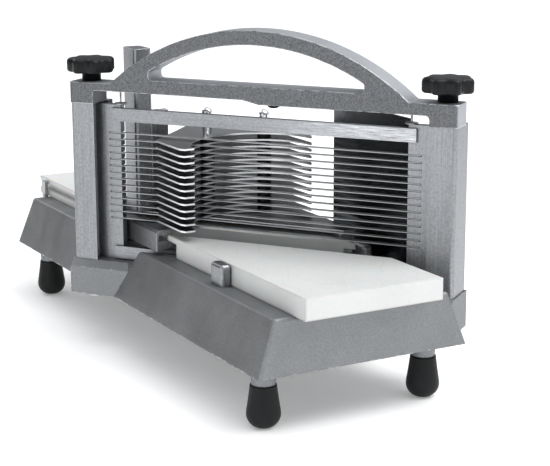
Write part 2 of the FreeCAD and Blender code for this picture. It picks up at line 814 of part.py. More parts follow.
def board_lugs():
    """Blocks on the rim that keep the front board from sliding sideways."""
    lugs = []
    for side, sign in SIDES:
        body = side_box(side + "_lug_body", sign, "board_width / 2 + slide_gap",
                        "board_width / 2 + slide_gap + lug_wide", "-lug_along", "deck_top",
                        "lug_long", "lug_tall")
        lugs.append(round_edges(side + "_lug", body, value("lug_round"),
                                lambda edge: edge.BoundBox.ZMax > value("deck_top") + 1))
    return subpart(in_base(compound("lugs", lugs)), "board_lugs")


def rear_stops():
    """Pins on the rim that stop the pusher's feet at the end of the stroke."""
    pins = [side_cylinder(side + "_stop", sign, "board_width / 2 + stop_gap + stop_radius",
                          "foot_rear + back_travel + stop_radius + slide_gap", "deck_top",
                          "stop_radius", "stop_tall") for side, sign in SIDES]
    return subpart(in_base(compound("stops", pins)), "rear_stop_pins")


# ---------------------------------------------------------------- pusher

def pusher_foot(side, sign):
    """Channel that runs along the board's edge and grips its lip."""
    inner = "board_width / 2 - foot_hold"
    outer = inner + " + foot_wide"
    slot_in = outer + " - foot_skin"
    flip = "" if sign > 0 else "-"
    corners = [
        (outer, "lip_low - foot_drop"), (outer, "foot_top - 2"), (outer + " - 2", "foot_top"),
        (inner, "foot_top"), (inner, "board_high + slide_gap"), (slot_in, "board_high + slide_gap"),
        (slot_in, "lip_low - slide_gap"), (inner, "lip_low - slide_gap"),
        (inner, "lip_low - edge_groove_tall + slide_gap + 0.5")]
    points = [("%s(%s)" % (flip, x), z) for x, z in corners]
    start = "foot_front" if sign < 0 else "foot_front_right"
    foot = prism(side + "_foot_body", points, "foot_rear - (%s)" % start)
    foot.Placement = FreeCAD.Placement(FreeCAD.Vector(), FreeCAD.Rotation(FreeCAD.Vector(1, 0, 0), 90))
    bind_place(foot, "0", "foot_rear", "0")
    screws = compound(side + "_foot_holes", foot_screw_rods(side + "_foot_hole_", side, sign))
    return subpart(in_base(cut(side + "_foot_cut", foot, screws)), side + "_guide_foot")


def foot_screw_spots(side, sign):
    """Where the screws go down through the base plate into a foot."""
    x = "foot_screw_x" if sign > 0 else "-foot_screw_x"
    rows = {"left": ("foot_rear - 8", "foot_rear - 24"), "right": ("foot_rear - 8", "foot_rear - 100")}
    return [(x, y) for y in rows[side]]


def foot_screw_rods(prefix, side, sign):
    return [cylinder(prefix + str(i), x, y, "foot_top - foot_screw_bite", "screw_radius",
                     "foot_screw_bite + base_plate_thick")
            for i, (x, y) in enumerate(foot_screw_spots(side, sign))]


def foot_screws():
    screws = []
    for side, sign in SIDES:
        rods = foot_screw_rods(side + "_foot_shank_", side, sign)
        for i, (x, y) in enumerate(foot_screw_spots(side, sign)):
            head = cylinder("%s_foot_head_%d" % (side, i), x, y, "foot_top + base_plate_thick",
                            "screw_head", "screw_head_tall")
            screws.append(join("%s_foot_screw_%d" % (side, i), [rods[i], head]))
    return subpart(in_base(compound("foot_screw_set", screws)), "foot_screws")


RODS = (("left", "left_rod_x", "left_rod_y"), ("right", "right_rod_x", "right_rod_y"))


def rod_holes(prefix):
    return [cylinder(prefix + name, x, y, "0", "rod_radius", "2 * ear_top") for name, x, y in RODS]


def pusher_base():
    """Flat plate across the two feet, cut back along the frame."""
    reach = "board_width / 2 - foot_hold + foot_wide"
    slab = prism("pusher_base_slab", [
        ("-(%s)" % reach, "foot_rear"),
        ("-(%s)" % reach, slant_y("-(%s)" % reach, "base_plate_gap")),
        ("(base_plate_gap - foot_front_right * slant_cos) / slant_sin", "foot_front_right"),
        (reach, "foot_front_right"),
        (reach, "foot_rear")], "base_plate_thick", "foot_top")
    screws = foot_screw_rods("base_hole_left_", "left", -1) + foot_screw_rods("base_hole_right_", "right", 1)
    tools = compound("pusher_base_tools", rod_holes("base_rod_hole_") + screws)
    return subpart(in_base(cut("pusher_base_cut", slab, tools)), "pusher_base_plate")


def plate_low(index):
    return "blade_first + (%d + 0.5) * blade_pitch - plate_thick / 2" % index


def pusher_plate(index):
    """One plate that passes between two blades, hollowed to a round cradle."""
    prefix = "pusher_plate_%02d" % (index + 1)
    slab = prism(prefix + "_slab", [
        ("-plate_reach + plate_corner / 2", "plate_tip"), ("plate_reach - plate_corner / 2", "plate_tip"),
        ("plate_reach", "plate_tip + plate_corner"), ("plate_reach", "plate_shoulder"),
        ("plate_reach + plate_shoulder - plate_rear", "plate_rear"),
        ("-plate_reach - plate_shoulder + plate_rear", "plate_rear"),
        ("-plate_reach", "plate_shoulder"), ("-plate_reach", "plate_tip + plate_corner")],
        "plate_thick", plate_low(index))
    cradle = cylinder(prefix + "_cradle", "cradle_x", "cradle_at", "0", "cradle_radius", "2 * ear_top")
    tools = compound(prefix + "_tools", [cradle] + rod_holes(prefix + "_rod_"))
    return subpart(in_base(cut(prefix + "_cut", slab, tools)), prefix)


def spacers():
    """Black washers that keep the plates one blade pitch apart."""
    rings = []
    for name, x, y in RODS:
        for i in range(int(value("blade_count")) - 1):
            low = "foot_top + base_plate_thick" if i == 0 else plate_low(i - 1) + " + plate_thick"
            prefix = "spacer_%s_%02d" % (name, i)
            ring = cylinder(prefix + "_ring", x, y, low, "spacer_radius",
                            "%s - (%s)" % (plate_low(i), low))
            hole = cylinder(prefix + "_hole", x, y, "0", "rod_radius", "2 * ear_top")
            rings.append(cut(prefix, ring, hole))
    return subpart(in_base(compound("spacer_rings", rings)), "plate_spacers")


def top_plate_high():
    return plate_low(int(value("blade_count")) - 2) + " + plate_thick"


def nut_low(name):
    return top_plate_high() + " + %s_ferrule_tall" % name


def tie_rods():
    rods = [cylinder(name + "_rod", x, y, "foot_top", "rod_radius",
                     "%s + nut_bore - foot_top" % nut_low(name)) for name, x, y in RODS]
    return subpart(in_base(compound("rods", rods)), "tie_rods")


def ferrules():
    """Tapered collars between the top plate and the cap nuts."""
    collars = []
    for name, x, y in RODS:
        body = cone(name + "_ferrule_body", x, y, top_plate_high(), "rod_radius + ferrule_low_wall",
                    "rod_radius + ferrule_high_wall", name + "_ferrule_tall")
        hole = cylinder(name + "_ferrule_hole", x, y, "0", "rod_radius", "2 * ear_top")
        collars.append(cut(name + "_ferrule", body, hole))
    return subpart(in_base(compound("ferrule_set", collars)), "rod_ferrules")


def cap_nuts():
    nuts = []
    for name, x, y in RODS:
        low = nut_low(name)
        skirt = cylinder(name + "_nut_skirt", x, y, low, "nut_radius", "nut_skirt")
        dome = doc.addObject("Part::Sphere", name + "_nut_dome")
        bind(dome, "Radius", "nut_radius")
        bind_place(dome, x, y, low + " + nut_skirt")
        ball = join(name + "_nut_ball", [skirt, dome])
        keep = cylinder(name + "_nut_keep", x, y, low, "nut_radius + past", "2 * nut_radius")
        hole = cylinder(name + "_nut_hole", x, y, "0", "rod_radius", low + " + nut_bore")
        nuts.append(cut(name + "_nut", common(name + "_nut_trim", ball, keep), hole))
    return subpart(in_base(compound("nut_set", nuts)), "cap_nuts")


def pusher_grip():
    """Upright grip post with the web that stands beside the plates."""
    low = "foot_top + base_plate_thick"
    column = box("grip_column", "grip_x", "grip_y", low, "grip_wide", "grip_deep",
                 "grip_top - (%s)" % low)
    rounded = round_edges("grip_round", column, value("grip_corner"), upright)
    web = box("grip_web", "grip_x + past", "grip_y + web_back", low, "web_wide - past", "web_deep",
              "web_top - (%s)" % low)
    return subpart(in_base(join("grip_joined", [rounded, web])), "pusher_grip")


def side_guard():
    """Upright sheet beside the pusher's path, on a flange screwed to the rim."""
    front = slant_y("guard_x", "guard_gap")
    sheet_metal = box("guard_sheet", "guard_x", front, "deck_top", "guard_thick",
                      "guard_rear - (%s)" % front, "guard_top - deck_top")
    flange = box("guard_flange", "board_width / 2 + 1", "guard_rear - guard_foot", "deck_top",
                 "guard_x + guard_thick - board_width / 2 - 1", "guard_foot", "guard_thick")
    holes = compound("guard_holes", guard_rods("guard_hole_", "guard_thick"))
    return subpart(in_base(cut("guard_cut", join("guard_joined", [sheet_metal, flange]), holes)),
                   "side_guard")


GUARD_SCREW_ROWS = ("guard_rear - guard_screw_in", "guard_rear - guard_foot + guard_screw_in")


def guard_rods(prefix, above):
    return [cylinder(prefix + str(i), "guard_screw_x", y, "deck_top - guard_screw_bite", "screw_radius",
                     "guard_screw_bite + " + above) for i, y in enumerate(GUARD_SCREW_ROWS)]


def guard_fixings():
    screws = []
    for i, rod in enumerate(guard_rods("guard_shank_", "guard_thick")):
        head = cylinder("guard_head_%d" % i, "guard_screw_x", GUARD_SCREW_ROWS[i],
                        "deck_top + guard_thick", "screw_head", "guard_head_tall")
        screws.append(join("guard_screw_%d" % i, [rod, head]))
    return screws


# ---------------------------------------------------------------- build and write

def drill_deck():
    """Holes in the casting for the screws that hold the boards and the guard."""
    casting = subparts.pop()
    rods = screw_rods("deck_hole_", FRONT_SCREWS + REAR_SCREWS) + guard_rods("deck_guard_hole_", "past")
    tools = in_base(compound("deck_holes", rods))
    casting.Label = "base_undrilled"
    return subpart(cut("base_drilled", casting, tools), "base_casting")


def build():
    base_sizes()
    frame_sizes()
    blade_sizes()
    handle_sizes()
    board_sizes()
    pusher_sizes()
    place_sizes()
    doc.recompute()
    base_casting()
    drill_deck()
    rubber_feet()
    for side, sign in SIDES:
        post(side, sign)
        rail(side, sign)
        knob_insert(side, sign)
        knob(side, sign)
        pusher_foot(side, sign)
    post_bolts()
    knob_studs()
    blade_bars()
    bar_screws()
    blade_pins()
    for i in range(int(value("blade_count"))):
        blade(i)
    top_handle()
    hold_down_buttons()
    front_board()
    rear_board()
    deck_screws()
    board_lugs()
    rear_stops()
    pusher_base()
    foot_screws()
    for i in range(int(value("blade_count")) - 1):
        pusher_plate(i)
    spacers()
    tie_rods()
    ferrules()
    cap_nuts()
    pusher_grip()
    side_guard()


def check():
    doc.recompute()
    for obj in doc.Objects:
        if "Invalid" in obj.State or "Error" in obj.State:
            raise RuntimeError("%s failed: %s" % (obj.Name, obj.State))
    for obj in subparts:
        if obj.Shape.isNull() or not obj.Shape.isValid():
            raise RuntimeError("%s has a bad shape" % obj.Label)
        if not obj.Shape.Solids:
            raise RuntimeError("%s has no solid" % obj.Label)


def write():
    os.makedirs("parts", exist_ok=True)
    for obj in subparts:
        obj.Shape.exportStep("parts/%s.step" % obj.Label)
    print(len(subparts), "sub-parts written")


build()
check()
write()
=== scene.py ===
"""Tomato slicer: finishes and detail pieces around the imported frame, laid out as an add-on.

Everything is in metres, in the frame's own place. Run as a script, it builds the whole scene.
"""

import math

import bmesh
import bpy
from bpy.props import FloatProperty, FloatVectorProperty, IntProperty, PointerProperty
from mathutils import Matrix, Vector


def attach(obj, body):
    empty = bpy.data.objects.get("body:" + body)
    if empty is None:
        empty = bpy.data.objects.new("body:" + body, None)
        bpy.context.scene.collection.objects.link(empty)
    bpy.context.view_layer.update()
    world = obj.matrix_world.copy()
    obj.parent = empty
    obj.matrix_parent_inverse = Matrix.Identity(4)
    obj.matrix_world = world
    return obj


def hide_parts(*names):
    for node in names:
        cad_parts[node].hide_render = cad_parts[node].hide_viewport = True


bl_info = {
    "name": "Tomato slicer",
    "version": (1, 0, 0),
    "blender": (4, 5, 0),
    "location": "View3D > Sidebar > Slicer",
    "description": "Builds a horizontal-blade tomato slicer around its packed frame",
    "category": "Add Mesh",
}

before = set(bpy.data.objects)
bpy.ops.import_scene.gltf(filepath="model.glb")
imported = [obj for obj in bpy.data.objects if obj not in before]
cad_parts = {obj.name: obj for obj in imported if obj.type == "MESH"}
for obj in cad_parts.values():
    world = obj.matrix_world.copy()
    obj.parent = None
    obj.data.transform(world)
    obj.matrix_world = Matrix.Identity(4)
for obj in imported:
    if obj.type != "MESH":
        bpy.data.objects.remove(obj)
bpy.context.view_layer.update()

MM = 0.001
# The blade frame stands across the base, turned this far about the vertical at its centre.
FRAME_TURN = math.radians(-53.4)
FRAME_PLACE = Vector((-0.0010035, -0.0711, 0.0))
# The knob studs stand this far from the frame's centre and behind its blades, in millimetres.
STUD_ACROSS = 133.0
STUD_BEHIND = 3.2
# The legs stand at these places along each side of the base, in millimetres.
LEG_X = (-61.0035, 58.9965)
LEG_Y = (-185.0, 176.0)
# Heights of the rails' top and the crossbar's underside, and the buttons' line, in millimetres.
RAIL_TOP = 177.5
BAR_UNDER_LEFT = 187.9
BAR_UNDER_RIGHT = 185.3
BUTTON_BEHIND = 2.0
# Each soft lamp: its name, place, target, width, height and power in watts.
LAMPS = (
    ("key", (0.75, -0.65, 1.25), (0.0, 0.0, 0.08), 0.9, 0.9, 10.5),
    ("front", (0.35, -1.7, 0.45), (0.05, -0.1, 0.08), 0.8, 0.6, 2.0),
    ("left", (-1.5, -0.5, 0.3), (-0.02, -0.05, 0.1), 0.9, 0.7, 3.2),
    ("rear", (-0.5, 1.3, 1.0), (0.0, 0.0, 0.1), 1.0, 0.6, 5.0),
)
SUN_POWER = 1.0
SUN_SOFTNESS = math.radians(60.0)
SUN_TILT = (math.radians(14.0), math.radians(10.0), 0.0)


def linear(code):
    """Turns an sRGB hex colour to linear red, green and blue."""
    parts = [int(code[i : i + 2], 16) / 255 for i in (1, 3, 5)]
    return tuple(c / 12.92 if c <= 0.04045 else ((c + 0.055) / 1.055) ** 2.4 for c in parts)


def shade(colour, factor):
    """The colour made darker or lighter by a factor, as a colour socket wants it."""
    return (*(min(1.0, c * factor) for c in colour), 1.0)


def per_mm(size):
    """The noise scale at which one feature of a pattern is about this many millimetres."""
    return 1000.0 / size


def add(tree, kind, inputs=None, **settings):
    """Adds one node with its settings, and sets its inputs or links them to a node or a socket."""
    made = tree.nodes.new("ShaderNode" + kind)
    for name, value in settings.items():
        setattr(made, name, value)
    for socket, value in (inputs or {}).items():
        if isinstance(value, bpy.types.Node):
            value = next(out for out in value.outputs if out.enabled)
        if isinstance(value, bpy.types.NodeSocket):
            tree.links.new(value, made.inputs[socket])
        else:
            made.inputs[socket].default_value = value
    return made


def start(name):
    """A new empty material, its tree and its object coordinates."""
    material = bpy.data.materials.new(name)
    material.use_nodes = True
    tree = material.node_tree
    tree.nodes.clear()
    place = add(tree, "TexCoord").outputs["Object"]
    return material, tree, place


def finish(tree, inputs):
    """Ends a material with its surface and its output."""
    shader = add(tree, "BsdfPrincipled", inputs)
    add(tree, "OutputMaterial", {"Surface": shader})


def edge_wear_and_highlight(tree, radius, most):
    """The softened normal, the true normal, and how near an edge the surface is, up to most: the mask for edge
    wear and for a painted highlight.
    """
    rounded = add(tree, "Bevel", {"Radius": radius * MM}, samples=6)
    true = add(tree, "NewGeometry").outputs["Normal"]
    same = add(tree, "VectorMath", {0: rounded, 1: true}, operation="DOT_PRODUCT").outputs["Value"]
    return rounded, true, add(tree, "MapRange", {0: same, 1: 0.995, 2: 0.86, 4: most})


# ---------------------------------------------------------------- metals


def cast_aluminium(name, colour, edge_colour, edge_radius, grit, speckle, wear_and_highlight, dressed_and_lit):
    """Sand-cast aluminium, shot-blasted: matt grey with a fine dark grain, clouds and bright edges."""
    material, tree, place = start(name)
    # The blast pits are about 0.3 mm across; they are drawn two to four times coarser to show.
    grain = add(tree, "TexNoise", {"Vector": place, "Scale": per_mm(grit), "Detail": 4.0, "Roughness": 0.7})
    pits = add(tree, "TexNoise", {"Vector": place, "Scale": per_mm(grit * 2.4), "Detail": 2.0})
    cloud = add(tree, "TexNoise", {"Vector": place, "Scale": per_mm(28.0), "Detail": 4.0})
    # Handling rubs the casting bright wherever an edge stands out; the light edge colour also stands in for the
    # highlight the edges catch, so it is partly wear and partly painted highlight.
    rounded, true, edge = edge_wear_and_highlight(tree, edge_radius, 1.0)
    patch = add(tree, "TexNoise", {"Vector": place, "Scale": per_mm(5.0), "Detail": 3.0})
    patches = add(tree, "MapRange", {0: patch, 1: wear_and_highlight, 2: wear_and_highlight + 0.16})
    worn_and_highlit = add(tree, "Math", {0: edge, 1: patches}, operation="MULTIPLY")
    # Painted shade: ambient occlusion darkens the colour in the corners and along the joints.
    corner = add(tree, "AmbientOcclusion", {"Distance": 5.0 * MM}, samples=6).outputs["AO"]
    painted_corner_shade = add(tree, "MapRange", {0: corner, 1: 0.25, 2: 0.80, 3: 0.75, 4: 0.0})
    tone = add(tree, "MapRange", {0: cloud, 1: 0.35, 2: 0.68})
    dark = add(tree, "MapRange", {0: grain, 1: 0.40, 2: 0.62, 3: 0.0, 4: speckle})
    toned = add(tree, "Mix", {0: tone, 6: shade(colour, 0.82), 7: shade(colour, 1.0)}, data_type="RGBA")
    speckled = add(tree, "Mix", {0: dark, 6: toned, 7: shade(colour, 0.32)}, data_type="RGBA")
    if dressed_and_lit:
        # The faces between front and back, the top among them, are dressed on a belt, which takes most of the
        # grain off, and are painted a much lighter copy of the colour, a painted highlight where they catch the
        # light.
        across = (math.sin(-FRAME_TURN), math.cos(-FRAME_TURN), 0.0)
        front = add(tree, "VectorMath", {0: true, 1: across}, operation="DOT_PRODUCT").outputs["Value"]
        front = add(tree, "Math", {0: front}, operation="ABSOLUTE")
        belt = add(tree, "MapRange", {0: front, 1: 0.8, 2: 0.5, 4: 0.85})
        speckled = add(tree, "Mix", {0: belt, 6: speckled, 7: shade(colour, 2.1)}, data_type="RGBA")
    corner_shaded = add(tree, "Mix", {0: painted_corner_shade, 6: speckled, 7: shade(colour, 0.18)}, data_type="RGBA")
    final = add(tree, "Mix", {0: worn_and_highlit, 6: corner_shaded, 7: shade(edge_colour, 1.0)}, data_type="RGBA")
    dull = add(tree, "MapRange", {0: cloud, 1: 0.3, 2: 0.7, 3: 0.50, 4: 0.62})
    rough = add(tree, "Math", {0: worn_and_highlit, 1: -0.20, 2: dull}, operation="MULTIPLY_ADD")
    dents = add(tree, "MapRange", {0: pits, 1: 0.56, 2: 0.70})
    fine = add(tree, "Bump", {"Height": grain, "Distance": 0.10 * MM, "Normal": rounded})
    normal = add(tree, "Bump", {"Height": dents, "Distance": -0.08 * MM, "Normal": fine})
    finish(tree, {"Base Color": final, "Metallic": 1.0, "Roughness": rough, "Normal": normal})
    return material


def brushed_aluminium(name, colour, turn, along, scuffs, worn_end):
    """Aluminium belt-ground one way: fine streaks, dull spots, scuffs and bright edges."""
    material, tree, place = start(name)
    unturned = add(tree, "Mapping", {"Vector": place, "Rotation": (0.0, 0.0, -turn)})
    # Belt lines are about 0.1 mm apart; they are drawn 0.5 mm apart and 40 mm long to show.
    fine_scale, wide_scale = [per_mm(0.5)] * 3, [per_mm(4.0)] * 3
    fine_scale["XYZ".index(along)] = per_mm(40.0)
    wide_scale["XYZ".index(along)] = per_mm(70.0)
    fine_way = add(tree, "Mapping", {"Vector": unturned, "Scale": fine_scale})
    wide_way = add(tree, "Mapping", {"Vector": unturned, "Scale": wide_scale})
    lines = add(tree, "TexNoise", {"Vector": fine_way, "Scale": 1.0, "Detail": 3.0})
    bands = add(tree, "TexNoise", {"Vector": wide_way, "Scale": 1.0, "Detail": 2.0})
    rub = add(tree, "TexNoise", {"Vector": place, "Scale": per_mm(6.0), "Detail": 6.0, "Roughness": 0.75})
    spot = add(tree, "TexNoise", {"Vector": place, "Scale": per_mm(1.7), "Detail": 3.0, "Roughness": 0.65})
    # Edge wear and painted highlight: near an edge the colour turns to a much lighter copy of the metal.
    rounded, true, worn_and_highlit = edge_wear_and_highlight(tree, 0.5, 0.75)
    # Painted shade: ambient occlusion darkens the colour at the joints.
    corner = add(tree, "AmbientOcclusion", {"Distance": 3.0 * MM}, samples=6).outputs["AO"]
    painted_corner_shade = add(tree, "MapRange", {0: corner, 1: 0.20, 2: 0.75, 3: 0.85, 4: 0.0})
    streak = add(tree, "MapRange", {0: lines, 1: 0.32, 2: 0.68})
    band = add(tree, "MapRange", {0: bands, 1: 0.35, 2: 0.70, 4: 0.35})
    scuff = add(tree, "MapRange", {0: rub, 1: 0.54, 2: 0.74, 4: scuffs})
    spots = add(tree, "MapRange", {0: spot, 1: 0.44, 2: 0.64, 4: 0.5})
    streaked = add(tree, "Mix", {0: streak, 6: shade(colour, 0.66), 7: shade(colour, 1.0)}, data_type="RGBA")
    banded = add(tree, "Mix", {0: band, 6: streaked, 7: shade(colour, 0.72)}, data_type="RGBA")
    scuffed = add(tree, "Mix", {0: scuff, 6: banded, 7: shade(colour, 1.25)}, data_type="RGBA")
    spotted = add(tree, "Mix", {0: spots, 6: scuffed, 7: shade(colour, 0.48)}, data_type="RGBA")
    if worn_end:
        # Tomatoes and fingers rub the bar bright towards its right end.
        distance = add(tree, "SeparateXYZ", {"Vector": unturned}).outputs["X"]
        far = add(tree, "MapRange", {0: distance, 1: 0.06, 2: 0.13})
        rubs = add(tree, "TexNoise", {"Vector": fine_way, "Scale": 3.0, "Detail": 4.0, "Roughness": 0.7})
        bright = add(tree, "MapRange", {0: rubs, 1: 0.45, 2: 0.62})
        rubbed = add(tree, "Math", {0: far, 1: bright}, operation="MULTIPLY")
        spotted = add(tree, "Mix", {0: rubbed, 6: spotted, 7: shade(colour, 2.2)}, data_type="RGBA")
    corner_shaded = add(tree, "Mix", {0: painted_corner_shade, 6: spotted, 7: shade(colour, 0.10)}, data_type="RGBA")
    final = add(tree, "Mix", {0: worn_and_highlit, 6: corner_shaded, 7: shade(colour, 2.0)}, data_type="RGBA")
    smooth = add(tree, "MapRange", {0: lines, 1: 0.3, 2: 0.7, 3: 0.32, 4: 0.46})
    rough = add(tree, "Math", {0: scuff, 1: 0.25, 2: smooth}, operation="MULTIPLY_ADD")
    normal = add(tree, "Bump", {"Height": lines, "Distance": 0.025 * MM, "Normal": rounded})
    finish(tree, {"Base Color": final, "Metallic": 1.0, "Roughness": rough, "Normal": normal})
    return material


def sheet_metal(name, colour, edge_colour, rough_low, rough_high):
    """Rolled sheet: satin faces with a faint rolling grain and smears; its side faces take the edge colour, a
    painted highlight where it is lighter and a painted shade where it is darker.
    """
    material, tree, place = start(name)
    facing = add(tree, "NewGeometry").outputs["Normal"]
    upward = add(tree, "SeparateXYZ", {"Vector": facing}).outputs["Z"]
    flat = add(tree, "Math", {0: upward}, operation="ABSOLUTE")
    # Painted light: every face that does not look up or down takes the edge colour, a painted highlight on the
    # plates and a painted shade on the blades.
    edge = add(tree, "MapRange", {0: flat, 1: 0.75, 2: 0.35})
    # Rolling lines are finer than 0.1 mm; they are drawn 0.6 mm apart to show.
    grain_way = add(tree, "Mapping", {"Vector": place, "Scale": (per_mm(0.6), per_mm(26.0), per_mm(0.6))})
    lines = add(tree, "TexNoise", {"Vector": grain_way, "Scale": 1.0, "Detail": 3.0})
    smear = add(tree, "TexNoise", {"Vector": place, "Scale": per_mm(18.0), "Detail": 5.0})
    line = add(tree, "MapRange", {0: lines, 1: 0.3, 2: 0.7})
    juice = add(tree, "MapRange", {0: smear, 1: 0.45, 2: 0.7, 4: 0.3})
    face = add(tree, "Mix", {0: line, 6: shade(colour, 0.82), 7: shade(colour, 1.0)}, data_type="RGBA")
    smeared = add(tree, "Mix", {0: juice, 6: face, 7: shade(colour, 0.70)}, data_type="RGBA")
    final = add(tree, "Mix", {0: edge, 6: smeared, 7: shade(edge_colour, 1.0)}, data_type="RGBA")
    rough = add(tree, "MapRange", {0: smear, 1: 0.3, 2: 0.7, 3: rough_low, 4: rough_high})
    normal = add(tree, "Bump", {"Height": lines, "Distance": 0.012 * MM})
    finish(tree, {"Base Color": final, "Metallic": 1.0, "Roughness": rough, "Normal": normal})
    return material


def smooth_metal(name, colour, rough_low, rough_high, smear_size):
    """Drawn, turned or plated metal: bright and smooth, with finger smears that dull it in places."""
    material, tree, place = start(name)
    smear_look = {"Scale": per_mm(smear_size), "Detail": 5.0, "Roughness": 0.6}
    smear = add(tree, "TexNoise", {"Vector": place, **smear_look})
    # The draw marks are too fine to see; they are drawn 0.7 mm across.
    grain = add(tree, "TexNoise", {"Vector": place, "Scale": per_mm(0.7), "Detail": 2.0})
    dulled = add(tree, "MapRange", {0: smear, 1: 0.4, 2: 0.7, 4: 0.5})
    tint = add(tree, "Mix", {0: dulled, 6: shade(colour, 1.0), 7: shade(colour, 0.75)}, data_type="RGBA")
    rough = add(tree, "MapRange", {0: smear, 1: 0.35, 2: 0.7, 3: rough_low, 4: rough_high})
    normal = add(tree, "Bump", {"Height": grain, "Distance": 0.004 * MM})
    finish(tree, {"Base Color": tint, "Metallic": 1.0, "Roughness": rough, "Normal": normal})
    return material


# ---------------------------------------------------------------- plastics


def board_polyethylene(name, colour):
    """Sawn cutting-board polyethylene: milky and satin, with knife scratches and grey staining."""
    material, tree, place = start(name)
    rounded = add(tree, "Bevel", {"Radius": 2.0 * MM}, samples=6)
    scratches = 0.0
    for turn in (0.35, -0.5, 1.25):
        # A knife mark is 0.1 mm wide; it is drawn 0.8 mm wide and 34 mm long to show.
        lane = add(tree, "Mapping", {"Vector": place, "Rotation": (0.0, 0.0, -turn)})
        lane = add(tree, "Mapping", {"Vector": lane, "Scale": (per_mm(0.8), per_mm(34.0), per_mm(0.8))})
        mark = add(tree, "TexNoise", {"Vector": lane, "Scale": 1.0, "Detail": 2.0, "Roughness": 0.4})
        mark = add(tree, "MapRange", {0: mark, 1: 0.665, 2: 0.70})
        scratches = add(tree, "Math", {0: mark, 1: scratches}, operation="MAXIMUM")
    patch = add(tree, "TexNoise", {"Vector": place, "Scale": per_mm(45.0), "Detail": 4.0})
    stain = add(tree, "MapRange", {0: patch, 1: 0.42, 2: 0.75, 4: 0.5})
    tint = add(tree, "Mix", {0: stain, 6: shade(colour, 1.0), 7: shade(colour, 0.90)}, data_type="RGBA")
    cut = add(tree, "Math", {0: scratches, 1: 0.35}, operation="MULTIPLY")
    final = add(tree, "Mix", {0: cut, 6: tint, 7: shade(colour, 0.75)}, data_type="RGBA")
    grain = add(tree, "TexNoise", {"Vector": place, "Scale": per_mm(0.9), "Detail": 2.0})
    skin = add(tree, "Bump", {"Height": grain, "Distance": 0.02 * MM, "Normal": rounded})
    rough = add(tree, "MapRange", {0: grain, 1: 0.3, 2: 0.7, 3: 0.4, 4: 0.52})
    inputs = {"Base Color": final, "Roughness": rough}
    inputs["Normal"] = add(tree, "Bump", {"Height": scratches, "Distance": -0.06 * MM, "Normal": skin})
    finish(tree, {**inputs, "IOR": 1.51, "Subsurface Weight": 0.2, "Subsurface Scale": 2.0 * MM})
    return material


def moulded(name, colour, rough_low, rough_high, grain_size, depth, edge, gloss):
    """Moulded nylon or rubber: a fine spark-eroded skin, faintly dusty, with softened edges."""
    material, tree, place = start(name)
    skin = add(tree, "TexNoise", {"Vector": place, "Scale": per_mm(grain_size), "Detail": 3.0})
    cloud = add(tree, "TexNoise", {"Vector": place, "Scale": per_mm(14.0), "Detail": 5.0})
    dust = add(tree, "MapRange", {0: cloud, 1: 0.45, 2: 0.75, 4: 0.35})
    tint = add(tree, "Mix", {0: dust, 6: shade(colour, 1.0), 7: shade(colour, 2.2)}, data_type="RGBA")
    rough = add(tree, "MapRange", {0: skin, 1: 0.3, 2: 0.7, 3: rough_low, 4: rough_high})
    rounded = add(tree, "Bevel", {"Radius": edge * MM}, samples=6)
    normal = add(tree, "Bump", {"Height": skin, "Distance": depth * MM, "Normal": rounded})
    inputs = {"Base Color": tint, "Roughness": rough, "Normal": normal}
    finish(tree, {**inputs, "IOR": 1.5, "Specular IOR Level": gloss})
    return material


# ---------------------------------------------------------------- settings and stage


class SlicerStage(bpy.types.PropertyGroup):
    """Where the camera stands and how the light falls."""

    camera_place: FloatVectorProperty(
        name="Camera", description="Where the camera stands", subtype="XYZ_LENGTH", unit="LENGTH",
        default=(-0.5074, -1.0002, 0.3444),
    )
    camera_target: FloatVectorProperty(
        name="Target", description="The point that the camera looks at", subtype="XYZ_LENGTH",
        unit="LENGTH", default=(0.0098, -0.0735, 0.0935),
    )
    camera_roll: FloatProperty(
        name="Roll", description="How far the camera leans", unit="ROTATION", default=math.radians(-0.14)
    )
    lens: FloatProperty(name="Lens", description="Focal length in millimetres", default=102.73)
    floor_colour: FloatVectorProperty(
        name="Floor", description="Colour of the floor", subtype="COLOR", default=linear("#f6f6f6")
    )
    floor_glow: FloatProperty(
        name="Floor glow", description="How much light the sweep gives off", default=0.20
    )
    floor_radius: FloatProperty(
        name="Floor radius", description="How far the floor reaches", unit="LENGTH", default=9.0
    )


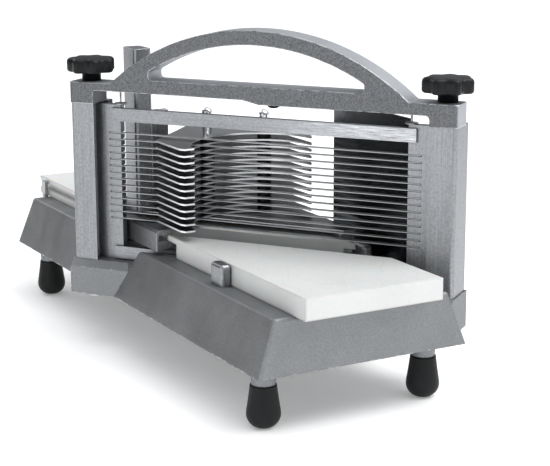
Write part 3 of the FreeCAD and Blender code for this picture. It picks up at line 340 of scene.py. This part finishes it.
class SlicerColours(bpy.types.PropertyGroup):
    """The colour of each finish."""

    cast: FloatVectorProperty(
        name="Casting", description="Blasted aluminium of the base", subtype="COLOR",
        default=linear("#949698"),
    )
    handle: FloatVectorProperty(
        name="Handle", description="Blasted aluminium of the handle", subtype="COLOR",
        default=linear("#838588"),
    )
    # Partly edge wear, partly painted highlight: the castings' edges and the plates' side faces are painted
    # this light colour.
    worn_and_highlit_edge: FloatVectorProperty(
        name="Bright edge", description="Aluminium rubbed bright at an edge", subtype="COLOR",
        default=linear("#e4e5e6"),
    )
    milled: FloatVectorProperty(
        name="Milled", description="Brushed aluminium of posts and bars", subtype="COLOR",
        default=linear("#a1a3a6"),
    )
    board: FloatVectorProperty(
        name="Board", description="White polyethylene", subtype="COLOR", default=linear("#cfd0cf")
    )
    blade: FloatVectorProperty(
        name="Blade", description="Ground blade steel", subtype="COLOR", default=linear("#b9bbbd")
    )
    plate: FloatVectorProperty(
        name="Plate", description="Rolled sheet of the pusher plates", subtype="COLOR",
        default=linear("#6c6e70"),
    )
    # Painted light: the topmost plate is the same sheet as the plates below, painted lighter where light falls
    # on top of the stack.
    lit_top_plate: FloatVectorProperty(
        name="Top plate", description="Rubbed sheet of the topmost plate", subtype="COLOR",
        default=linear("#a4a6a8"),
    )
    blackened: FloatVectorProperty(
        name="Blackened steel", description="Stems of the hold-down buttons", subtype="COLOR",
        default=linear("#2b2c2e"),
    )
    guard: FloatVectorProperty(
        name="Guard", description="Polished steel of the side guard", subtype="COLOR",
        default=linear("#4e5052"),
    )
    fastener: FloatVectorProperty(
        name="Fastener", description="Zinc-bright screws and pins", subtype="COLOR",
        default=linear("#b4b5b6"),
    )
    # Painted shade: the blades' side faces, their ends in the rail slots among them, are painted this darker
    # colour.
    shaded_blade_edge: FloatVectorProperty(
        name="Blade edge", description="Honed edge of the blades", subtype="COLOR",
        default=linear("#9a9c9e"),
    )
    chrome: FloatVectorProperty(
        name="Chrome", description="Plated dome nuts", subtype="COLOR", default=linear("#dcdde0")
    )
    black: FloatVectorProperty(
        name="Black plastic", description="Moulded knobs and spacers", subtype="COLOR",
        default=linear("#0f1012"),
    )
    rubber: FloatVectorProperty(
        name="Rubber", description="Moulded feet", subtype="COLOR", default=linear("#141516")
    )
    brass: FloatVectorProperty(
        name="Brass", description="Turned bushes in the knobs", subtype="COLOR",
        default=linear("#c9a65c"),
    )


def softbox(name, place, target, width, height, power):
    """A soft rectangular lamp that faces its target."""
    lamp = bpy.data.lights.new(name, "AREA")
    lamp.shape = "RECTANGLE"
    lamp.size = width
    lamp.size_y = height
    lamp.energy = power
    obj = bpy.data.objects.new(name, lamp)
    bpy.context.scene.collection.objects.link(obj)
    obj.location = place
    obj.rotation_euler = (Vector(target) - Vector(place)).to_track_quat("-Z", "Y").to_euler()


class SLICER_OT_stage(bpy.types.Operator):
    """Sets up the camera, the soft studio light and the pale floor"""

    bl_idname = "slicer.stage"
    bl_label = "Stage"

    def execute(self, context):
        scene = context.scene
        settings = scene.slicer_stage
        camera = bpy.data.objects.new("camera", bpy.data.cameras.new("camera"))
        scene.collection.objects.link(camera)
        camera.location = settings.camera_place
        aim = Vector(settings.camera_target) - Vector(settings.camera_place)
        turn = aim.to_track_quat("-Z", "Y").to_matrix() @ Matrix.Rotation(settings.camera_roll, 3, "Z")
        camera.rotation_euler = turn.to_euler()
        camera.data.lens = settings.lens
        camera.data.sensor_width = 36.0
        camera.data.clip_end = 50.0
        scene.camera = camera

        world = bpy.data.worlds.new("studio")
        world.use_nodes = True
        scene.world = world
        tree = world.node_tree
        tree.nodes.clear()
        # The room is dark behind the object's left, bright in front and brightest overhead.
        way = add(tree, "TexCoord").outputs["Generated"]
        behind = add(tree, "VectorMath", {0: way, 1: (-0.5, 0.866, 0.0)}, operation="DOT_PRODUCT")
        side = add(tree, "MapRange", {0: behind.outputs["Value"], 1: -0.1, 2: 0.95, 3: 0.62, 4: 0.07})
        height = add(tree, "SeparateXYZ", {"Vector": way}).outputs["Z"]
        upper = add(tree, "MapRange", {0: height, 1: 0.35, 2: 0.95, 3: 0.0, 4: 0.62})
        level = add(tree, "Math", {0: side, 1: upper})
        back = add(tree, "Background", {"Color": shade(linear("#f6f8fa"), 1.0), "Strength": level})
        add(tree, "OutputWorld", {"Surface": back})

        for lamp in LAMPS:
            softbox(*lamp)
        sun = bpy.data.lights.new("sky", "SUN")
        sun.energy = SUN_POWER
        sun.angle = SUN_SOFTNESS
        sky = bpy.data.objects.new("sky", sun)
        sky.rotation_euler = SUN_TILT
        scene.collection.objects.link(sky)

        mesh = bpy.data.meshes.new("floor")
        shape = bmesh.new()
        bmesh.ops.create_circle(shape, cap_ends=True, segments=64, radius=settings.floor_radius)
        shape.to_mesh(mesh)
        shape.free()
        floor = bpy.data.objects.new("floor", mesh)
        scene.collection.objects.link(floor)
        # A lit white sweep: matt, with faint clouds and a little light of its own.
        material, tree, place = start("matt white sweep")
        cloud = add(tree, "TexNoise", {"Vector": place, "Scale": per_mm(90.0), "Detail": 3.0})
        pale, white = shade(settings.floor_colour, 0.97), shade(settings.floor_colour, 1.0)
        tint = add(tree, "Mix", {0: cloud, 6: white, 7: pale}, data_type="RGBA")
        glow = {"Emission Color": (1.0, 1.0, 1.0, 1.0), "Emission Strength": settings.floor_glow}
        finish(tree, {"Base Color": tint, "Roughness": 0.7, **glow})
        mesh.materials.append(material)
        scene.view_settings.view_transform = "Standard"
        return {"FINISHED"}


class SlicerShapes(bpy.types.PropertyGroup):
    """Sizes of the detail pieces, all inside their frame parts."""

    knob_radius: FloatProperty(
        name="Knob radius", description="Over the lobes of a hand knob", unit="LENGTH", default=17.35 * MM
    )
    knob_waist: FloatProperty(
        name="Knob waist", description="Between the lobes of a hand knob", unit="LENGTH", default=14.0 * MM
    )
    knob_lobes: IntProperty(name="Lobes", description="How many lobes a hand knob has", default=7)
    boot_bulge: FloatProperty(
        name="Boot bulge", description="Widest radius of a rubber boot", unit="LENGTH", default=11.05 * MM
    )
    pad_radius: FloatProperty(
        name="Pad radius", description="Foot of a hold-down button", unit="LENGTH", default=4.55 * MM
    )


def in_frame(across, behind):
    """A point across the blade frame and behind its blades, in millimetres, as a place over the floor."""
    return FRAME_PLACE + Matrix.Rotation(FRAME_TURN, 3, "Z") @ Vector((across, behind, 0.0)) * MM


def piece(name, shape, rides_on, stands_for, finishes):
    """Turns a bmesh into a smooth-shaded piece that rides on a body and stands for a frame part."""
    mesh = bpy.data.meshes.new(name)
    shape.to_mesh(mesh)
    shape.free()
    mesh.shade_smooth()
    obj = bpy.data.objects.new(name, mesh)
    bpy.context.scene.collection.objects.link(obj)
    for finish_name in finishes:
        obj.data.materials.append(bpy.data.materials[finish_name])
    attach(obj, rides_on)
    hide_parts(stands_for)


def turned(shape, centre, outline, steps):
    """Spins an outline of radius and height pairs, in millimetres, once round a centre and closes its ends."""
    dots = [shape.verts.new(centre + Vector((radius, 0.0, height)) * MM) for radius, height in outline]
    chain = [shape.edges.new(pair) for pair in zip(dots, dots[1:])]
    bmesh.ops.spin(
        shape, geom=dots + chain, cent=centre, axis=(0.0, 0.0, 1.0), angle=math.tau, steps=steps, use_merge=True
    )
    bmesh.ops.remove_doubles(shape, verts=shape.verts[:], dist=0.01 * MM)
    bmesh.ops.recalc_face_normals(shape, faces=shape.faces[:])


class SLICER_OT_knobs(bpy.types.Operator):
    """Models the two hand knobs, with soft lobes and a gently domed top"""

    bl_idname = "slicer.knobs"
    bl_label = "Knobs"

    def execute(self, context):
        sizes = context.scene.slicer_shapes
        # Height, radius and how far the lobes show at it, up the bore and down over the outside.
        outline = (
            (193.5, 5.6, 0.0), (193.5, 6.75, 0.0), (198.8, 6.75, 0.0), (199.1, 8.0, 0.1), (199.2, 13.5, 0.8),
            (199.4, 15.8, 1.0), (200.1, 16.9, 1.0), (201.2, None, 1.0), (206.8, None, 1.0), (208.3, 16.9, 1.0),
            (209.2, 15.9, 1.0), (209.7, 14.2, 0.9), (209.9, 11.5, 0.55), (210.05, 7.5, 0.2), (210.2, 3.5, 0.0),
        )
        for side, across in (("left", -STUD_ACROSS), ("right", STUD_ACROSS)):
            centre = in_frame(across, STUD_BEHIND)
            shape = bmesh.new()
            made = bmesh.ops.create_circle(
                shape, segments=98, radius=5.6 * MM,
                matrix=Matrix.Translation(centre + Vector((0.0, 0.0, 207.2 * MM))),
            )
            ring = made["verts"]
            bore_top = shape.faces.new(ring)
            edges = bore_top.edges[:]
            for height, radius, lobed in outline:
                grown = bmesh.ops.extrude_edge_only(shape, edges=edges)["geom"]
                edges = [part for part in grown if isinstance(part, bmesh.types.BMEdge)]
                edges = [edge for edge in edges if edge.is_boundary]
                reach = sizes.knob_radius if radius is None else radius * MM
                dip = (sizes.knob_radius - sizes.knob_waist) / 2.0 * lobed
                for vert in {vert for edge in edges for vert in edge.verts}:
                    out = (vert.co - centre).to_2d()
                    angle = math.atan2(out.y, out.x) - FRAME_TURN
                    wave = math.cos(sizes.knob_lobes * angle) - 1.0
                    spoke = out.normalized() * (reach + dip * wave)
                    vert.co = centre + Vector((spoke.x, spoke.y, height * MM))
            bmesh.ops.holes_fill(shape, edges=edges, sides=0)
            top = max(shape.faces, key=lambda face: face.calc_center_median().z)
            bmesh.ops.poke(shape, faces=[top])
            bmesh.ops.recalc_face_normals(shape, faces=shape.faces[:])
            piece(side + "_hand_knob", shape, side + "_knob", side + "_knob", ["moulded black nylon"])
        return {"FINISHED"}


class SLICER_OT_boots(bpy.types.Operator):
    """Models the four rubber boots, swollen low down and rounded at their rims"""

    bl_idname = "slicer.boots"
    bl_label = "Boots"

    def execute(self, context):
        bulge = context.scene.slicer_shapes.boot_bulge / MM
        outline = (
            (0.0, 0.02), (3.0, 0.03), (5.6, 0.75), (7.6, 1.95), (9.3, 3.7), (10.4, 5.7), (bulge - 0.15, 7.4),
            (bulge, 9.0), (bulge - 0.15, 11.2), (10.45, 14.0), (9.85, 18.0), (9.3, 22.0), (8.85, 25.6),
            (8.65, 27.4), (8.45, 28.2), (8.15, 28.45), (7.9, 28.3), (7.8, 27.6), (7.45, 22.0), (7.06, 14.6),
            (7.02, 14.4), (0.0, 14.4),
        )
        shape = bmesh.new()
        for x in LEG_X:
            for y in LEG_Y:
                one = bmesh.new()
                turned(one, Vector((x, y, 0.0)) * MM, outline, 56)
                part = bpy.data.meshes.new("boot")
                one.to_mesh(part)
                one.free()
                shape.from_mesh(part)
                bpy.data.meshes.remove(part)
        piece("rubber_boots", shape, "base", "rubber_feet", ["moulded foot rubber"])
        return {"FINISHED"}


class SLICER_OT_buttons(bpy.types.Operator):
    """Models the hold-down buttons: two discs on pins and a dark dome"""

    bl_idname = "slicer.buttons"
    bl_label = "Hold-down buttons"

    def execute(self, context):
        foot = context.scene.slicer_shapes.pad_radius / MM
        shape = bmesh.new()
        # The outer two stand on the rails on a thin pin; the middle one is a dome below the keel.
        outer = [(0.0, 0.0), (foot - 0.4, 0.0), (foot, 0.4), (foot - 0.3, 1.1), (0.8, 1.4), (0.7, 2.2)]
        dome = [(0.0, -3.4), (2.4, -3.2), (3.8, -2.5), (foot - 0.1, -1.4), (foot, 0.0), (0.0, 0.0)]
        shapes = (
            (-109.0, [(r, RAIL_TOP + z) for r, z in outer] + [(0.7, BAR_UNDER_LEFT), (0.0, BAR_UNDER_LEFT)]),
            (10.0, [(r, BAR_UNDER_RIGHT + z) for r, z in dome]),
            (109.0, [(r, RAIL_TOP + z) for r, z in outer] + [(0.7, BAR_UNDER_RIGHT), (0.0, BAR_UNDER_RIGHT)]),
        )
        for slot, (across, outline) in zip((1, 0, 1), shapes):
            one = bmesh.new()
            turned(one, in_frame(across, BUTTON_BEHIND), outline, 40)
            for face in one.faces:
                face.material_index = slot
            part = bpy.data.meshes.new("button")
            one.to_mesh(part)
            one.free()
            shape.from_mesh(part)
            bpy.data.meshes.remove(part)
        piece("blade_buttons", shape, "handle", "hold_down_buttons", ["blackened steel", "zinc-bright steel"])
        return {"FINISHED"}


class SLICER_OT_finishes(bpy.types.Operator):
    """Makes the finishes and gives every part of the frame its own"""

    bl_idname = "slicer.finishes"
    bl_label = "Finishes"

    def execute(self, context):
        tone = context.scene.slicer_colours
        edge = tone.worn_and_highlit_edge
        upright = brushed_aluminium(
            "belt-ground post aluminium", tone.milled, turn=0.0, along="Z", scuffs=0.35, worn_end=False
        )
        barred = brushed_aluminium(
            "belt-ground bar aluminium", tone.milled, turn=FRAME_TURN, along="X", scuffs=0.6, worn_end=True
        )
        cast = cast_aluminium(
            "blasted cast aluminium", tone.cast, edge, edge_radius=1.2, grit=0.9, speckle=0.32,
            wear_and_highlight=0.50, dressed_and_lit=False,
        )
        handle = cast_aluminium(
            "blasted handle casting", tone.handle, edge, edge_radius=1.2, grit=1.2, speckle=0.70,
            wear_and_highlight=0.36, dressed_and_lit=True,
        )
        plate = sheet_metal("rolled plate aluminium", tone.plate, edge, 0.30, 0.42)
        lit_top_plate = sheet_metal("lit top plate aluminium", tone.lit_top_plate, edge, 0.30, 0.42)
        blade = sheet_metal("ground blade steel", tone.blade, tone.shaded_blade_edge, 0.28, 0.40)
        nylon = moulded(
            "moulded black nylon", tone.black, 0.30, 0.42, grain_size=0.6, depth=0.03, edge=0.4, gloss=0.22
        )
        spacer = moulded(
            "moulded black spacer", tone.black, 0.35, 0.50, grain_size=0.6, depth=0.02, edge=0.2, gloss=0.22
        )
        rubber = moulded(
            "moulded foot rubber", tone.rubber, 0.45, 0.62, grain_size=0.8, depth=0.05, edge=0.4, gloss=0.22
        )
        smooth_metal("blackened steel", tone.blackened, 0.35, 0.5, smear_size=6.0)
        finishes = {
            "cast_aluminium": cast,
            "handle_aluminium": handle,
            "machined_aluminium": upright,
            "white_board": board_polyethylene("cutting board polyethylene", tone.board),
            "blade_steel": blade,
            "plate_aluminium": plate,
            "guard_steel": smooth_metal("polished guard steel", tone.guard, 0.12, 0.26, smear_size=30.0),
            "fastener_steel": smooth_metal("zinc-bright steel", tone.fastener, 0.25, 0.45, smear_size=9.0),
            "nut_chrome": smooth_metal("chromium plate", tone.chrome, 0.05, 0.14, smear_size=9.0),
            "knob_black": nylon,
            "spacer_black": spacer,
            "foot_rubber": rubber,
            "insert_brass": smooth_metal("turned brass", tone.brass, 0.2, 0.35, smear_size=9.0),
        }
        own = {"top_blade_bar": barred, "bottom_blade_bar": barred, "pusher_plate_13": lit_top_plate}
        for name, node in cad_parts.items():
            for place in node.material_slots:
                place.material = own.get(name) or finishes[place.material.name.split(".")[0]]
        return {"FINISHED"}


class SLICER_PT_panel(bpy.types.Panel):
    """Lists the steps and their settings"""

    bl_label = "Tomato slicer"
    bl_idname = "SLICER_PT_panel"
    bl_space_type = "VIEW_3D"
    bl_region_type = "UI"
    bl_category = "Slicer"

    def draw(self, context):
        for step in STEPS:
            self.layout.operator(step)
        scene = context.scene
        for group in (scene.slicer_stage, scene.slicer_colours, scene.slicer_shapes):
            for name in group.__annotations__:
                self.layout.prop(group, name)


STEPS = ("slicer.stage", "slicer.finishes", "slicer.knobs", "slicer.boots", "slicer.buttons")
GROUPS = {"slicer_stage": SlicerStage, "slicer_colours": SlicerColours, "slicer_shapes": SlicerShapes}
CLASSES = (
    SlicerStage,
    SlicerColours,
    SlicerShapes,
    SLICER_OT_stage,
    SLICER_OT_finishes,
    SLICER_OT_knobs,
    SLICER_OT_boots,
    SLICER_OT_buttons,
    SLICER_PT_panel,
)


def register():
    for item in CLASSES:
        bpy.utils.register_class(item)
    for name, group in GROUPS.items():
        setattr(bpy.types.Scene, name, PointerProperty(type=group))


def unregister():
    for name in GROUPS:
        delattr(bpy.types.Scene, name)
    for item in reversed(CLASSES):
        bpy.utils.unregister_class(item)


def main():
    """Registers the add-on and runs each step."""
    register()
    bpy.ops.slicer.stage()
    bpy.ops.slicer.finishes()
    bpy.ops.slicer.knobs()
    bpy.ops.slicer.boots()
    bpy.ops.slicer.buttons()


if __name__ == "__main__":
    main()
